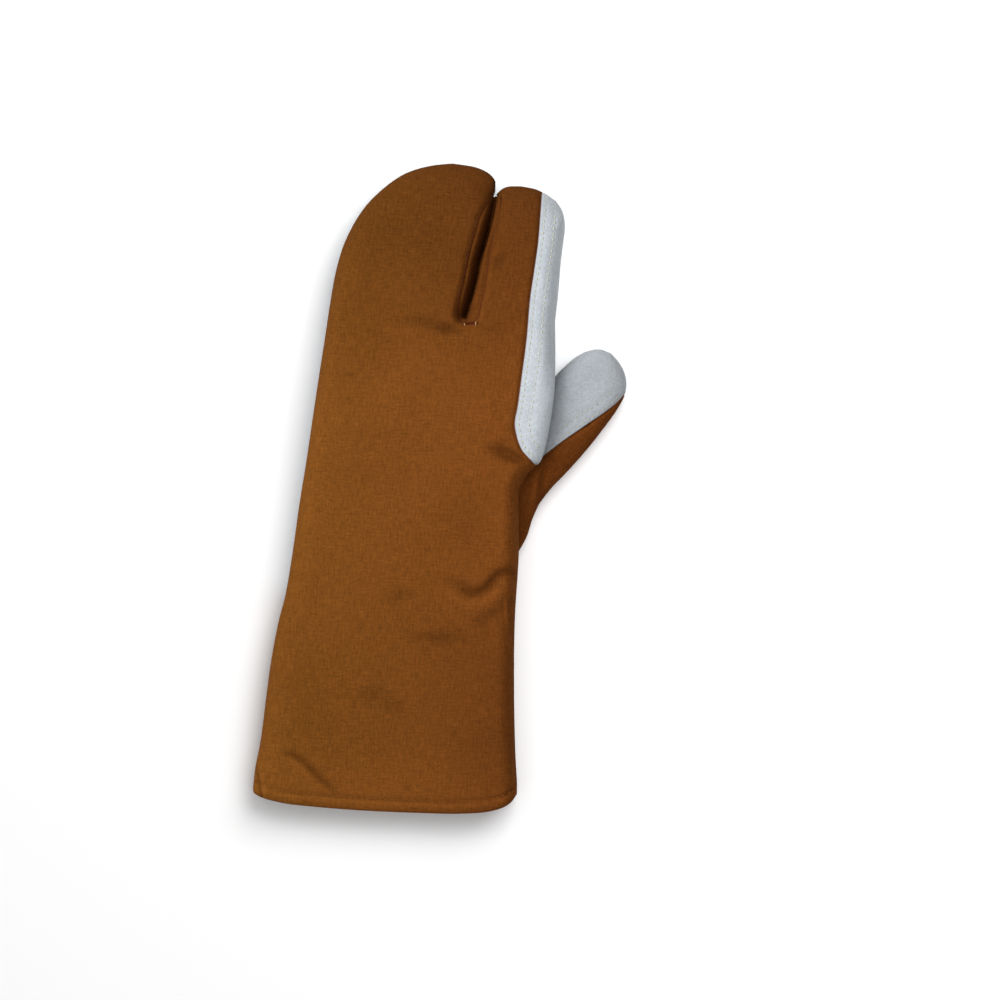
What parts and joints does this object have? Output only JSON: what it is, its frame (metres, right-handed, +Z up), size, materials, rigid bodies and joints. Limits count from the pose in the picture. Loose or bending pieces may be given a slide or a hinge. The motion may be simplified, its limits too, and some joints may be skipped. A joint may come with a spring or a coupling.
{
  "type": "bakers glove",
  "caption": "Padded gauntlet mitt of brown cotton and split leather with a broad finger lobe, an index finger and a thumb, lying palm down.",
  "frame": {"origin": "middle of the bounding box's bottom, in the plane the glove rests on", "axes": "+X towards the thumb side, +Y from the hem to the fingertips, +Z up through the back of the hand"},
  "size_m": [0.206, 0.3844, 0.0395],
  "materials": {
    "back_cloth": "matt brown woven cotton, padded",
    "gauntlet_cloth": "matt brown woven cotton, padded",
    "palm_leather": "pale grey split leather with a soft nap",
    "gusset_cloth": "matt brown woven cotton",
    "thumb_leather": "pale grey split leather with a soft nap",
    "thumb_cloth": "matt brown woven cotton, padded"
  },
  "bodies": {
    "root": {"back_panel": "back_cloth", "gauntlet_palm_panel": "gauntlet_cloth", "palm_leather": "palm_leather", "finger_fourchette": "gusset_cloth", "thumb_leather": "thumb_leather", "thumb_back": "thumb_cloth"}
  },
  "joints": []
}
